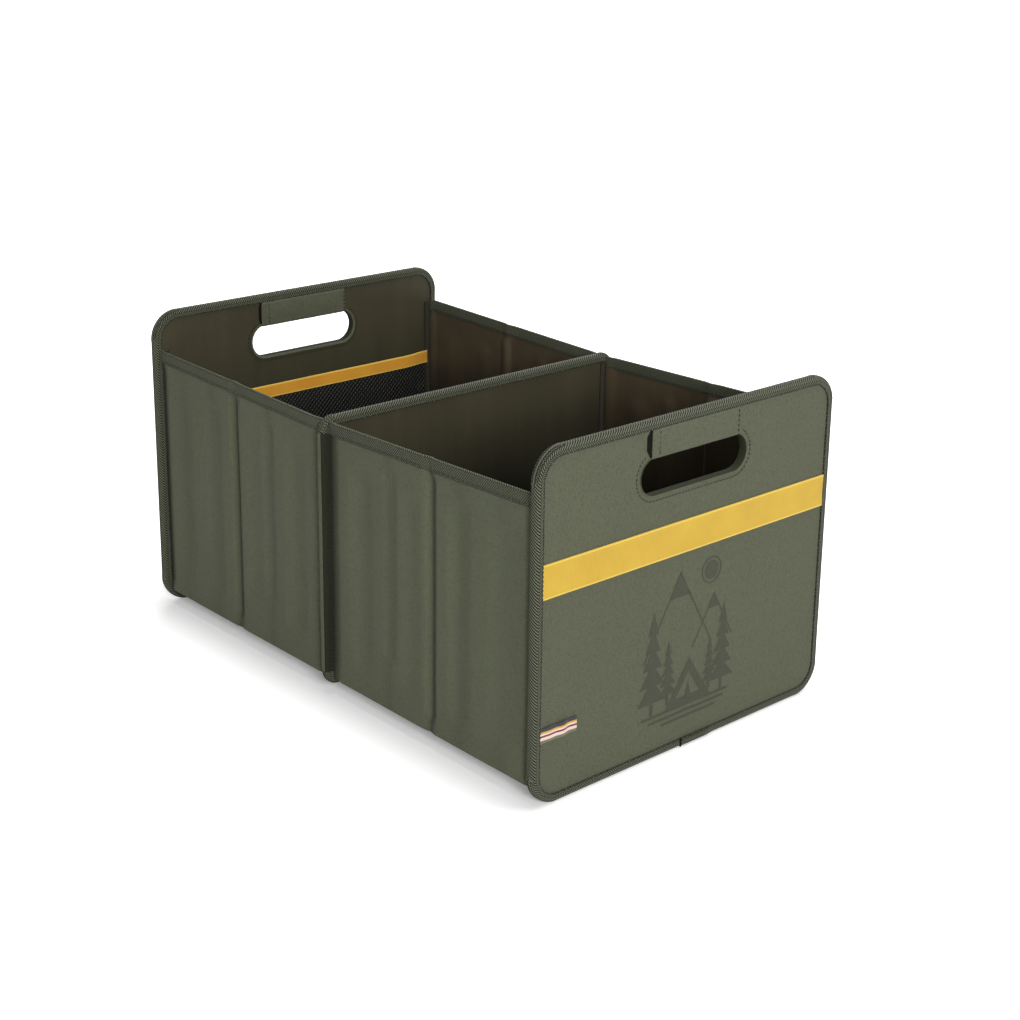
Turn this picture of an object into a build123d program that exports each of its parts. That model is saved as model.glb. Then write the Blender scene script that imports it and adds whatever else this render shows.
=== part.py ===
"""Collapsible storage crate: two bound end panels and a bound divider, joined by soft side
walls that fold inwards at a middle crease, over a floor of four hinged boards.

Millimetres. X runs along the crate with the front panel at +X, Z is up, and the origin lies
under the middle of the crate on the surface it stands on."""
import os

from build123d import *

# Overall sizes: outside of the bindings
crate_length = 500.0
crate_width = 316.0
crate_height = 271.0
end_corner_radius = 25.0

# Sheet materials
board_thickness = 4.0
fabric_thickness = 1.0
binding_thickness = 1.0
binding_reach = 7.0

# Divider in the middle: shorter than the end panels and clear of the ground
divider_bottom = 8.0
divider_top = 235.0
divider_corner_radius = 12.0

# Side walls: padded fabric, set in from the edge of the bound panels
wall_inset = 4.7
wall_thickness = 3.0
hem_thickness = 0.5
hem_height = 10.0
wall_top_at_divider = 232.0
wall_top_at_end = 237.5

# Floor boards, each as long as half a compartment, with the base fabric underneath
floor_bottom = 14.0
floor_board_thickness = 3.0
floor_side_gap = 0.6
floor_split_gap = 1.0

# Fold clearances
fold_gap = 0.5
seam_gap = 0.3
diagonal_clearance = 5.5

# Handle slots and the sleeves round the bars above them
slot_width = 114.0
slot_height = 30.0
slot_centre_height = 228.0
grip_width = 94.0
grip_thickness = 2.0

# Elastic closing band and ribbon label on the front panel
band_bottom = 161.0
band_height = 26.0
band_thickness = 1.0
label_length = 35.0
label_height = 11.5
label_bottom = 51.0
label_thickness = 0.6

# Mesh pocket on the inside of the rear panel
pocket_side_gap = 3.3
pocket_bottom = 22.0
pocket_top = 187.0
pocket_depth = 5.0
mesh_thickness = 0.8
pocket_edge_height = 12.0
pocket_edge_thickness = 1.2

# Worked out from the sizes above: faces, hinge lines and the folded stack
panel_thickness = board_thickness + 2 * fabric_thickness
bound_thickness = panel_thickness + 2 * binding_thickness
end_outer_x = crate_length / 2
end_inner_x = end_outer_x - bound_thickness
lining_x = end_inner_x + binding_thickness
cover_x = end_outer_x - binding_thickness
divider_face_x = bound_thickness / 2
wall_stack = wall_thickness + 2 * hem_thickness
wall_outer_y = crate_width / 2 - wall_inset
wall_inner_y = wall_outer_y - wall_stack
floor_stack = floor_board_thickness + fabric_thickness
fold_x = (divider_face_x + end_inner_x) / 2
wall_hinge_x = divider_face_x + fold_gap
wall_hinge_y = wall_inner_y
crease_hinge_y = wall_outer_y + floor_stack + 1.5 * fold_gap
floor_turn = (wall_stack + fold_gap + floor_stack) / 2
floor_hinge_x = wall_hinge_x + floor_turn
floor_hinge_z = floor_bottom + floor_turn
folded_half = 2 * (wall_stack + floor_stack) + 5 * fold_gap + bound_thickness
grip_bottom = slot_centre_height + slot_height / 2 - grip_thickness


def panel_outline(inset, low, high, radius):
    """Rounded outline of an upright panel in Y and Z, drawn in from its edge by inset."""
    size = (crate_width - 2 * inset, high - low - 2 * inset)
    return Pos(0, (low + high) / 2) * RectangleRounded(*size, radius - inset)


def slab(outline, x_from, x_to):
    """A flat layer between two X values."""
    return extrude(Plane.YZ.offset(x_from) * outline, amount=x_to - x_from)


def block(x_from, x_to, y_from, y_to, z_from, z_to):
    """A plain box between its six faces."""
    size = (x_to - x_from, y_to - y_from, z_to - z_from)
    centre = ((x_from + x_to) / 2, (y_from + y_to) / 2, (z_from + z_to) / 2)
    return Pos(*centre) * Box(*size)


def wall_prism(points, y_from, y_to):
    """A flat piece of side wall: an outline in X and Z between two Y values."""
    outline = make_face(Polyline([(x, y_from, z) for x, z in points], close=True))
    return extrude(outline, amount=y_to - y_from, dir=(0, 1, 0))


def binding_ring(low, high, radius, x_from, x_to):
    """Binding tape folded round a panel's whole edge: a channel bent into a closed ring."""
    ring = slab(panel_outline(0, low, high, radius), x_from, x_to)
    ring -= slab(panel_outline(binding_reach, low, high, radius), x_from, x_to)
    layers = panel_outline(binding_thickness, low, high, radius)
    return ring - slab(layers, x_from + binding_thickness, x_to - binding_thickness)


def panel_layer(low, high, radius, x_from, x_to):
    """One layer of a bound panel, filling the channel of its binding."""
    return slab(panel_outline(binding_thickness, low, high, radius), x_from, x_to)


def handle_slot():
    """The hand hole through an end panel, run past both faces."""
    outline = Pos(0, slot_centre_height) * SlotOverall(slot_width, slot_height)
    return slab(outline, end_inner_x - grip_thickness, end_outer_x + grip_thickness)


def handle_grip():
    """Padded sleeve wrapped round the bar above the slot, sewn in under the top binding."""
    top = crate_height - binding_reach
    side = grip_width / 2
    outer = (lining_x - grip_thickness, cover_x + grip_thickness)
    sleeve = block(*outer, -side, side, grip_bottom, top)
    size = (0, crate_height, end_corner_radius)
    return sleeve - (panel_layer(*size, lining_x, cover_x) - handle_slot())


def end_panel():
    """The five pieces of an end panel, standing at the front of the crate."""
    size = (0, crate_height, end_corner_radius)
    board_x = lining_x + fabric_thickness
    outer_x = board_x + board_thickness
    slot = handle_slot()
    return {
        "panel_board": panel_layer(*size, board_x, outer_x) - slot,
        "panel_cover": panel_layer(*size, outer_x, cover_x) - slot,
        "panel_lining": panel_layer(*size, lining_x, board_x) - slot,
        "panel_binding": binding_ring(*size, end_inner_x, end_outer_x),
        "handle_grip": handle_grip(),
    }


def divider():
    """The four pieces of the bound divider, centred on the crate."""
    size = (divider_bottom, divider_top, divider_corner_radius)
    board = board_thickness / 2
    skin = board + fabric_thickness
    return {
        "divider_board": panel_layer(*size, -board, board),
        "divider_front_lining": panel_layer(*size, board, skin),
        "divider_rear_lining": panel_layer(*size, -skin, -board),
        "divider_binding": binding_ring(*size, -divider_face_x, divider_face_x),
    }


def wall_top(x):
    """Height of the side wall's top edge, which rises from the divider to the end panel."""
    share = (x - divider_face_x) / (end_inner_x - divider_face_x)
    return wall_top_at_divider + share * (wall_top_at_end - wall_top_at_divider)


def wall_half(near_end):
    """The three pieces of one half of a right side wall in front of the divider.

    The stiff panel stops at a diagonal that rises from the hinged corner, and the soft gusset
    below it gives way when the floor folds up between the walls."""
    hinge_x = end_inner_x - fold_gap if near_end else wall_hinge_x
    toward_fold = -1 if near_end else 1
    start = hinge_x + toward_fold * seam_gap
    stop = fold_x - toward_fold * seam_gap
    low_start = floor_bottom + diagonal_clearance
    low_stop = low_start + abs(stop - start)
    top_start = wall_top(start) - hem_thickness
    top_stop = wall_top(stop) - hem_thickness
    faces = (wall_inner_y + hem_thickness, wall_outer_y - hem_thickness)
    panel = wall_prism(
        [(start, low_start), (stop, low_stop), (stop, top_stop), (start, top_start)], *faces)
    gusset = wall_prism(
        [(start, floor_bottom), (stop, floor_bottom), (stop, low_stop), (start, low_start)],
        *faces)
    hem = wall_prism(
        [(start, top_start - hem_height), (stop, top_stop - hem_height),
         (stop, top_stop + hem_thickness), (start, top_start + hem_thickness)],
        wall_inner_y, wall_outer_y) - panel
    return {"panel": panel, "gusset": gusset, "hem": hem}


def floor_half(near_end):
    """One hinged floor board in front of the divider, with the base fabric under it."""
    start, stop = wall_hinge_x, fold_x - floor_split_gap / 2
    if near_end:
        start, stop = 2 * fold_x - stop, 2 * fold_x - start
    side = wall_inner_y - floor_side_gap
    middle = floor_bottom + fabric_thickness
    return {
        "board": block(start, stop, -side, side, middle, floor_bottom + floor_stack),
        "fabric": block(start, stop, -side, side, floor_bottom, middle),
    }


def closing_band():
    """Elastic band across the front panel, its ends caught under the binding."""
    side = crate_width / 2 - binding_reach
    band = (cover_x, cover_x + band_thickness)
    return block(*band, -side, side, band_bottom, band_bottom + band_height)


def stripe_label():
    """Striped ribbon label whose end is caught under the front panel's left binding."""
    left = binding_reach - crate_width / 2
    ribbon = (cover_x, cover_x + label_thickness)
    return block(*ribbon, left, left + label_length, label_bottom, label_bottom + label_height)


def mesh_pocket():
    """Mesh pocket on the rear panel's lining: open at the top, with shallow sides."""
    side = wall_inner_y - pocket_side_gap
    front = pocket_depth + mesh_thickness - lining_x
    pocket = block(-lining_x, front, -side, side, pocket_bottom, pocket_top)
    inner_side = side - mesh_thickness
    floor = pocket_bottom + mesh_thickness
    mouth = block(-lining_x, front - mesh_thickness, -inner_side, inner_side, floor, pocket_top)
    return pocket - mouth


def pocket_edge():
    """Elastic tape sewn along the front of the pocket's mouth."""
    side = wall_inner_y - pocket_side_gap
    mesh_face = pocket_depth + mesh_thickness - lining_x
    tape = (mesh_face, mesh_face + pocket_edge_thickness)
    return block(*tape, -side, side, pocket_top - pocket_edge_height, pocket_top)


def build_crate():
    """Every node of the crate by name."""
    nodes = divider()
    for piece, solid in end_panel().items():
        nodes[f"front_{piece}"] = solid
        nodes[f"rear_{piece}"] = mirror(solid, about=Plane.YZ)
    for place, near_end in (("inner", False), ("outer", True)):
        for piece, right in wall_half(near_end).items():
            left = mirror(right, about=Plane.XZ)
            nodes[f"front_right_wall_{place}_{piece}"] = right
            nodes[f"front_left_wall_{place}_{piece}"] = left
            nodes[f"rear_right_wall_{place}_{piece}"] = mirror(right, about=Plane.YZ)
            nodes[f"rear_left_wall_{place}_{piece}"] = mirror(left, about=Plane.YZ)
        for piece, solid in floor_half(near_end).items():
            nodes[f"front_floor_{place}_{piece}"] = solid
            nodes[f"rear_floor_{place}_{piece}"] = mirror(solid, about=Plane.YZ)
    nodes["closing_band"] = closing_band()
    nodes["stripe_label"] = stripe_label()
    nodes["mesh_pocket"] = mesh_pocket()
    nodes["pocket_edge"] = pocket_edge()
    return nodes


os.makedirs("parts", exist_ok=True)
for name, solid in build_crate().items():
    export_step(solid, f"parts/{name}.step")
print("folded thickness", 2 * (folded_half + divider_face_x))
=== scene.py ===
"""A collapsible storage crate, put together in the order in which it is sewn: stiffened
panels, their tape, handles, trim, divider, folding side walls, floor and mesh pocket."""
import math

import bmesh
import bpy
from mathutils import Matrix, Vector
from mathutils.bvhtree import BVHTree


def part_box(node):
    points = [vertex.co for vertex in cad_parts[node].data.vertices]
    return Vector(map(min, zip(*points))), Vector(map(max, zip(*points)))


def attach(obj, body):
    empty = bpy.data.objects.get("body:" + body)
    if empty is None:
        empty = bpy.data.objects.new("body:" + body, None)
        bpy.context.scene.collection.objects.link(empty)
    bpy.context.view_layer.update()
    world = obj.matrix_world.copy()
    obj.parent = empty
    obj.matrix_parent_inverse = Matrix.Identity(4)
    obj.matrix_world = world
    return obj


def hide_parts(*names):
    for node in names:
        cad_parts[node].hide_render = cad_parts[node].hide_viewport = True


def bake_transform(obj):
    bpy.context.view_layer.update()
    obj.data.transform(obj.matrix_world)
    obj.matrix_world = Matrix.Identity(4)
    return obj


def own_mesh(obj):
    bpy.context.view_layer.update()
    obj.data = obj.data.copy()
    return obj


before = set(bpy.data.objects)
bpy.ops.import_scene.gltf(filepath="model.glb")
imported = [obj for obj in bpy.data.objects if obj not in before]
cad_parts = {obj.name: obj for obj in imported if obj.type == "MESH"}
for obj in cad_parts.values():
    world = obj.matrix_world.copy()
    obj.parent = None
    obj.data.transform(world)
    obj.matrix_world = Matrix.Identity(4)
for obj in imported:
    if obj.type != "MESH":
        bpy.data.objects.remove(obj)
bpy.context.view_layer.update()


# Stiffening boards
# Grey board, die cut to each panel's outline with the hand hole already in it. It hides
# between cover and lining, and shows only at a worn edge: flecked pulp, matt and dusty.
def put_down():
    if bpy.context.object and bpy.context.object.mode != "OBJECT":
        bpy.ops.object.mode_set(mode="OBJECT")
    bpy.ops.object.select_all(action="DESELECT")


def wire(tree, kind, sockets=None, **settings):
    """One node, with its settings, and its sockets given as numbers or as what feeds them."""
    made = tree.nodes.new("ShaderNode" + kind)
    for key, value in settings.items():
        setattr(made, key, value)
    for key, value in (sockets or {}).items():
        if isinstance(value, bpy.types.NodeSocket):
            tree.links.new(value, made.inputs[key])
        else:
            made.inputs[key].default_value = value
    return made


def sums(tree, operation, first, second=0.0, clamp=False):
    made = wire(tree, "Math", {0: first, 1: second}, operation=operation, use_clamp=clamp)
    return made.outputs[0]


def plus(tree, first, second, clamp=False):
    return sums(tree, "ADD", first, second, clamp)


def minus(tree, first, second, clamp=False):
    return sums(tree, "SUBTRACT", first, second, clamp)


def times(tree, first, second, clamp=False):
    return sums(tree, "MULTIPLY", first, second, clamp)


def mottle(tree, place, scale, detail):
    return wire(tree, "TexNoise", {"Vector": place, "Scale": scale, "Detail": detail}).outputs[0]


def new_finish(name, roughness, sheen=0.0, specular=0.35):
    """A finish with the plain numbers on its shader, and its place in millimetres."""
    finish = bpy.data.materials.new(name)
    finish.use_nodes = True
    tree = finish.node_tree
    shader = tree.nodes["Principled BSDF"]
    shader.inputs["Roughness"].default_value = roughness
    shader.inputs["Specular IOR Level"].default_value = specular
    shader.inputs["Sheen Weight"].default_value = sheen
    shader.inputs["Sheen Roughness"].default_value = 0.45
    place = wire(tree, "TexCoord").outputs["Object"]
    scaled = wire(tree, "VectorMath", {0: place, 3: 1000.0}, operation="SCALE").outputs[0]
    return finish, tree, shader, scaled


def tone(swatch):
    """A dyer's shade, given as a printed swatch reads, as light that the cloth sends back."""
    return [(c / 255 / 12.92 if c < 11 else ((c / 255 + 0.055) / 1.055) ** 2.4)
            for c in swatch] + [1.0]


def dye(tree, share, first, second):
    """From the first shade to the second as share goes from 0 to 1. Each is a swatch, or the
    socket of a shade mixed before."""
    first, second = [tone(s) if isinstance(s, tuple) else s for s in (first, second)]
    mixed = wire(tree, "Mix", {0: share, 6: first, 7: second}, data_type="RGBA",
                 clamp_factor=True)
    return mixed.outputs[2]


def lay_on(tree, shader, shade, relief, depth, distance=0.0003):
    """Puts a finish's shade and its relief on the shader."""
    bump = wire(tree, "Bump", {"Height": relief, "Strength": depth, "Distance": distance})
    tree.links.new(shade, shader.inputs["Base Color"])
    tree.links.new(bump.outputs[0], shader.inputs["Normal"])


def grey_board():
    finish, tree, shader, place = new_finish("grey_board", 0.92)
    pulp = mottle(tree, place, 0.7, 5.0)
    fleck = wire(tree, "TexVoronoi", {"Vector": place, "Scale": 0.45}).outputs["Distance"]
    spots = sums(tree, "LESS_THAN", fleck, 0.12)
    shade = dye(tree, pulp, (118, 112, 102), (152, 146, 134))
    lay_on(tree, shader, dye(tree, spots, shade, (96, 90, 80)), pulp, 0.3)
    return finish


put_down()
board_finish = grey_board()
for board in ("front_panel_board", "rear_panel_board", "divider_board"):
    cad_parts[board].data.materials.clear()
    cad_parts[board].data.materials.append(board_finish)


# End panel covers and linings
# Plain-weave polyester in olive on the outside and brown satin inside, each cut to the
# board's outline and drawn flat over it, so they only swell a little between the seams.
def blank(name, low, high):
    """A cut block between two corners, the start of most pieces here."""
    put_down()
    middle = [(a + b) / 2 for a, b in zip(low, high)]
    bpy.ops.mesh.primitive_cube_add(size=1, location=middle)
    piece = bpy.context.object
    piece.scale = [b - a for a, b in zip(low, high)]
    bpy.ops.object.transform_apply(location=True, rotation=True, scale=True)
    piece.name = piece.data.name = name
    return piece


def pick(kind, wanted):
    """In edit mode, selects just the corners, edges or faces that wanted says yes to."""
    mesh = bmesh.from_edit_mesh(bpy.context.object.data)
    groups = {"VERT": mesh.verts, "EDGE": mesh.edges, "FACE": mesh.faces}
    bpy.context.tool_settings.mesh_select_mode = [kind == other for other in groups]
    mesh.select_mode = {kind}
    for group in groups.values():
        for part in group:
            part.select = False
    for part in [p for p in groups[kind] if wanted(p)]:
        part.select_set(True)
    mesh.select_flush_mode()
    bmesh.update_edit_mesh(bpy.context.object.data)


def cut_away(kind, wanted):
    pick(kind, wanted)
    bpy.ops.mesh.delete(type=kind)


def take_up(piece):
    put_down()
    piece.select_set(True)
    bpy.context.view_layer.objects.active = piece


def work_on(piece):
    take_up(piece)
    bpy.ops.object.mode_set(mode="EDIT")


def press(piece, kind, **settings):
    """Adds a modifier and applies it."""
    take_up(piece)
    made = piece.modifiers.new(kind, kind)
    for key, value in settings.items():
        setattr(made, key, value)
    bpy.ops.object.modifier_apply(modifier=made.name)


def round_corners(piece, radius, steps):
    """Rounds the four corners of an upright panel, seen from its face."""
    work_on(piece)
    pick("EDGE", lambda e: abs((e.verts[0].co - e.verts[1].co).normalized().x) > 0.99)
    bpy.ops.mesh.bevel(offset=radius, segments=steps)
    put_down()


def score(piece, across, places):
    """Cuts lines into a piece at each place along one axis, so that it can be shaped there."""
    work_on(piece)
    for place in places:
        bpy.ops.mesh.select_all(action="SELECT")
        spot, facing = [0, 0, 0], [0, 0, 0]
        spot["XYZ".index(across)], facing["XYZ".index(across)] = place, 1
        bpy.ops.mesh.bisect(plane_co=spot, plane_no=facing)
    put_down()


def every(first, last, gap):
    count = max(1, round((last - first) / gap))
    return [first + (last - first) * i / count for i in range(1, count)]


def swell(piece, height, size, axis="NORMAL", middle=0.5):
    """Slow unevenness, as cloth has where nothing holds it."""
    cloud = bpy.data.textures.new(piece.name + "_swell", "CLOUDS")
    cloud.noise_scale = size
    press(piece, "DISPLACE", texture=cloud, texture_coords="LOCAL", strength=height,
          direction=axis, mid_level=middle)


def smooth(piece, angle=40):
    take_up(piece)
    bpy.ops.object.shade_smooth_by_angle(angle=math.radians(angle))


def dress(piece, *finishes):
    piece.data.materials.clear()
    for finish in finishes:
        piece.data.materials.append(finish)


def ribs(tree, along, pitch):
    return sums(tree, "SINE", times(tree, along, 2 * math.pi / pitch))


def plain_weave(tree, axes, across):
    """Threads over and under one another, each 0.62 mm wide."""
    return times(tree, ribs(tree, axes[across], 1.24), ribs(tree, axes["Z"], 1.24))


def olive_weave(name, across, light=(84, 86, 69), dark=(61, 63, 48), painted_shade_lines=()):
    """Plain weave with slubs along both threads and a slow wash of tone. Painted shade darkens it
    along given lines, where shade falls at creases, seams and folds; each line is given as its
    place across, its reach and its strength."""
    finish, tree, shader, place = new_finish(name, 0.82, sheen=0.05, specular=0.22)
    axes = wire(tree, "SeparateXYZ", {0: place}).outputs
    crossing = plain_weave(tree, axes, across)
    slubs = []
    for thread_way in ((1.0, 1.0, 0.25), (0.25, 0.25, 1.0)):
        drawn_out = wire(tree, "Mapping", {0: place, 3: thread_way}).outputs[0]
        slubs.append(mottle(tree, drawn_out, 1.25, 2.0))
    slub = plus(tree, *slubs)
    fleck = mottle(tree, place, 0.8, 1.0)
    wash = mottle(tree, place, 0.012, 2.0)
    body = dye(tree, wash, tuple(c - 3 for c in light), tuple(c + 3 for c in light))
    uneven = plus(tree, times(tree, minus(tree, slub, 0.90), 1.3), minus(tree, fleck, 0.48),
                  clamp=True)
    threads = plus(tree, uneven, times(tree, crossing, 0.12), clamp=True)
    cloth = dye(tree, threads, body, dark)
    # Painted shade along each given line, towards a near-black olive.
    for line, reach, strength in painted_shade_lines:
        away = sums(tree, "ABSOLUTE", minus(tree, sums(tree, "ABSOLUTE", axes[across]), line))
        near = minus(tree, 1.0, sums(tree, "DIVIDE", away, reach), clamp=True)
        share = times(tree, sums(tree, "POWER", near, 1.4), strength)
        cloth = dye(tree, share, cloth, (14, 15, 8))
    raised = plus(tree, sums(tree, "ABSOLUTE", crossing), times(tree, slub, 0.8))
    lay_on(tree, shader, cloth, raised, 0.32)
    return finish


def brown_satin(name, across, light=(73, 66, 49), dark=(50, 50, 35), painted_depth_shade=0.82):
    """Satin lining: long floats along one way, a soft shine and faint streaks from pressing. The
    last argument is how much painted shade, standing in for the shade deep in the crate,
    darkens it on the way down from the rim."""
    finish, tree, shader, place = new_finish(name, 0.48, sheen=0.05, specular=0.3)
    axes = wire(tree, "SeparateXYZ", {0: place}).outputs
    floats = plus(tree, times(tree, axes[across], 4.2), times(tree, axes["Z"], 2.4))
    drawn_out = wire(tree, "Mapping", {0: place, 3: (1.0, 1.0, 0.12)}).outputs[0]
    streak = mottle(tree, drawn_out, 0.05, 4.0)
    grain = mottle(tree, place, 0.9, 2.0)
    share = plus(tree, times(tree, streak, 0.75), times(tree, grain, 0.3))
    body = dye(tree, share, light, dark)
    # Painted shade: darker below the rim, for the shade inside the crate; the floor lining takes
    # none.
    rim_height, full_depth = 232.0, 105.0
    depth = sums(tree, "DIVIDE", minus(tree, rim_height, axes["Z"]), full_depth, clamp=True)
    shade = dye(tree, times(tree, depth, painted_depth_shade), body, (19, 20, 10))
    raised = plus(tree, sums(tree, "SINE", floats), times(tree, streak, 5.0))
    lay_on(tree, shader, shade, raised, 0.22)
    return finish


end_face, end_back, cover_face, lining_face = 0.250, 0.242, 0.249, 0.243
board_front, board_back = 0.248, 0.244
half_width, crate_top, end_corner = 0.158, 0.271, 0.025
slot_half, slot_low, slot_top = 0.057, 0.213, 0.243
slot_wide, slot_tall, slot_end = 0.114, 0.030, 0.015
sheet_inset = 0.0012


def on_side(sign, near, far):
    """Two places on the side of the crate that sign gives, the lower first."""
    return sorted((sign * near, sign * far))


def cut_slot(piece):
    """The hand hole, with fully round ends."""
    cutter = blank("slot_cutter", (-0.3, -slot_half, slot_low), (0.3, slot_half, slot_top))
    round_corners(cutter, (slot_top - slot_low) / 2 - 0.0001, 14)
    press(piece, "BOOLEAN", operation="DIFFERENCE", object=cutter, solver="EXACT")
    bpy.data.objects.remove(cutter)


def panel_sheet(name, near, far, low, high, radius, slotted):
    """One sheet of cloth on a panel, just inside the tape, scored to take a slight swell."""
    sheet = blank(name, (near, -half_width + sheet_inset, low + sheet_inset),
                  (far, half_width - sheet_inset, high - sheet_inset))
    round_corners(sheet, radius - sheet_inset, 12)
    if slotted:
        cut_slot(sheet)
    score(sheet, "Y", every(-half_width, half_width, 0.012))
    score(sheet, "Z", every(low, high, 0.012))
    swell(sheet, 0.0005, 0.11)
    smooth(sheet)
    return sheet


ends, sides = (("front", 1), ("rear", -1)), (("left", -1), ("right", 1))
outer_cloth = olive_weave("olive_cloth_panels", "Y")
inner_cloth = brown_satin("brown_lining_panels", "Y")
for end, sign in ends:
    for part, near, far, finish, slot_name in (
            ("cover", board_front, cover_face, outer_cloth, "outer_fabric"),
            ("lining", lining_face, board_back, inner_cloth, "lining_fabric")):
        cloth = panel_sheet(f"{end}_{part}_cloth", *on_side(sign, near, far), 0.0, crate_top,
                            end_corner, True)
        dress(cloth, finish)
        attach(cloth, f"{end}_panel")
        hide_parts(f"{end}_panel_{part}")


# Binding tape round the end panels
# Herringbone tape folded over the raw edge of board and cloth, sewn through all of them
# near its inner edge. Its ribs slant one way on the rim and the other way on the faces.
def tape_map(piece, low, high, radius, middle):
    """Millimetres along the tape and across it, so that the twill runs round the corners."""
    flat, upright = half_width - radius, (high - low) / 2 - radius
    quarter = math.pi / 2 * radius
    around = 4 * (flat + upright + quarter)

    def place(point):
        side, up = point.y, point.z - (low + high) / 2
        over_side, over_up = abs(side) - flat, abs(up) - upright
        if over_side > 0 and over_up > 0:
            turn = math.atan2(over_up, over_side)
            depth = radius - math.hypot(over_side, over_up)
            quarter_way = flat + (math.pi / 2 - turn) * radius
        elif over_side > over_up:
            depth, quarter_way = radius - over_side, flat + quarter + upright - abs(up)
        else:
            depth, quarter_way = radius - over_up, abs(side)
        along = quarter_way if up < 0 else around / 2 - quarter_way
        along = along if side >= 0 else around - along
        out = point.x - middle
        return along, out + math.copysign(max(depth, 0.0), out)

    layer = piece.data.uv_layers.new(name="tape")
    for face in piece.data.polygons:
        centre = place(face.center)[0]
        for corner in face.loop_indices:
            along, across = place(piece.data.vertices[piece.data.loops[corner].vertex_index].co)
            along += around * round((centre - along) / around)
            layer.data[corner].uv = (along * 1000, across * 1000)


def binding_channel(name, near, far, low, high, radius):
    """Tape folded round a whole panel edge: rim, two faces and a rounded fold between."""
    tape = blank(name, (near, -half_width, low), (far, half_width, high))
    round_corners(tape, radius, 16)
    middle, half_thick = (near + far) / 2, (far - near) / 2
    reach, fold_size, thick = 0.007, 0.0027, 0.00105
    work_on(tape)
    pick("FACE", lambda f: abs(f.normal.x) > 0.99)
    bpy.ops.mesh.inset(thickness=reach, use_even_offset=True)
    bpy.ops.mesh.delete(type="FACE")
    pick("EDGE", lambda e: e.is_manifold
         and all(abs(abs(v.co.x - middle) - half_thick) < 1e-6 for v in e.verts)
         and any(abs(f.normal.x) < 0.01 for f in e.link_faces))
    bpy.ops.mesh.bevel(offset=fold_size, segments=5)
    put_down()
    score(tape, "Y", every(-half_width + radius, half_width - radius, 0.010))
    score(tape, "Z", every(low + radius, high - radius, 0.010))
    tape_map(tape, low, high, radius, middle)
    press(tape, "SOLIDIFY", thickness=thick, offset=-1.0)
    smooth(tape, 50)
    return tape


def herringbone(name, rim, seam, light=(112, 116, 93), dark=(10, 11, 5)):
    """Diagonal ribs that turn back at each fold, a dip there darkened with painted shade, and a
    row of stitching on a dark line of painted shade along the tape's inner edge. Rim and
    seam are how far both lie from the tape's middle line."""
    finish, tree, shader = new_finish(name, 0.75, sheen=0.05, specular=0.25)[:3]
    on_tape = wire(tree, "UVMap", uv_map="tape").outputs[0]
    axes = wire(tree, "SeparateXYZ", {0: on_tape}).outputs
    away = sums(tree, "ABSOLUTE", axes["Y"])
    waver = mottle(tree, on_tape, 0.35, 2.0)
    rim_slant, rim_pitch, face_slant, face_pitch = 0.75, 2.45, 0.9, 2.1
    rim_phase = minus(tree, axes["X"], times(tree, axes["Y"], rim_slant))
    face_phase = plus(tree, axes["X"], times(tree, away, face_slant))
    rim_rib, face_rib = [
        sums(tree, "SINE", plus(tree, times(tree, phase, 2 * math.pi / pitch), waver))
        for phase, pitch in ((rim_phase, rim_pitch), (face_phase, face_pitch))]
    rib = wire(tree, "Mix", {0: sums(tree, "LESS_THAN", away, rim), 2: times(tree, face_rib, 0.8),
                             3: rim_rib}, data_type="FLOAT").outputs[0]
    off_fold = sums(tree, "ABSOLUTE", minus(tree, away, rim))
    groove = minus(tree, 1.0, sums(tree, "DIVIDE", off_fold, 0.55), clamp=True)
    dash = ribs(tree, axes["X"], 3.1)
    edge = times(tree, sums(tree, "GREATER_THAN", away, seam - 0.7),
                 plus(tree, times(tree, dash, 0.5), 0.55), clamp=True)
    share = sums(tree, "POWER", plus(tree, times(tree, rib, 0.5), 0.5, clamp=True), 1.7)
    shade = dye(tree, share, dark, light)
    # Painted shade at the fold, then along the inner edge a dark line of painted shade with the
    # stitches' dashes in it.
    shade = dye(tree, times(tree, groove, 0.55), shade, (20, 21, 14))
    shade = dye(tree, edge, shade, (17, 18, 12))
    lay_on(tree, shader, shade, minus(tree, rib, times(tree, groove, 0.9)), 0.7, 0.0006)
    return finish


panel_tape = herringbone("herringbone_tape", 7.6, 11.0)
for end, sign in ends:
    tape = binding_channel(f"{end}_binding_tape", *on_side(sign, end_back, end_face), 0.0,
                           crate_top, end_corner)
    dress(tape, panel_tape)
    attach(tape, f"{end}_panel")
    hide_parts(f"{end}_panel_binding")


# Tape ends under the end panels
# The tape's two ends overlap at the middle of the bottom edge, and the upper one is folded
# under, which leaves a small step and a notch on the face, drawn as a strip of painted shade.
def deep_shade(name, dark, light):
    """Painted shade: dull dark cloth put in a hollow, for the shade that falls there."""
    finish, tree, shader, place = new_finish(name, 0.95, specular=0.1)
    grain = mottle(tree, place, 1.2, 2.0)
    lay_on(tree, shader, dye(tree, grain, dark, light), grain, 0.3)
    return finish


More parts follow.
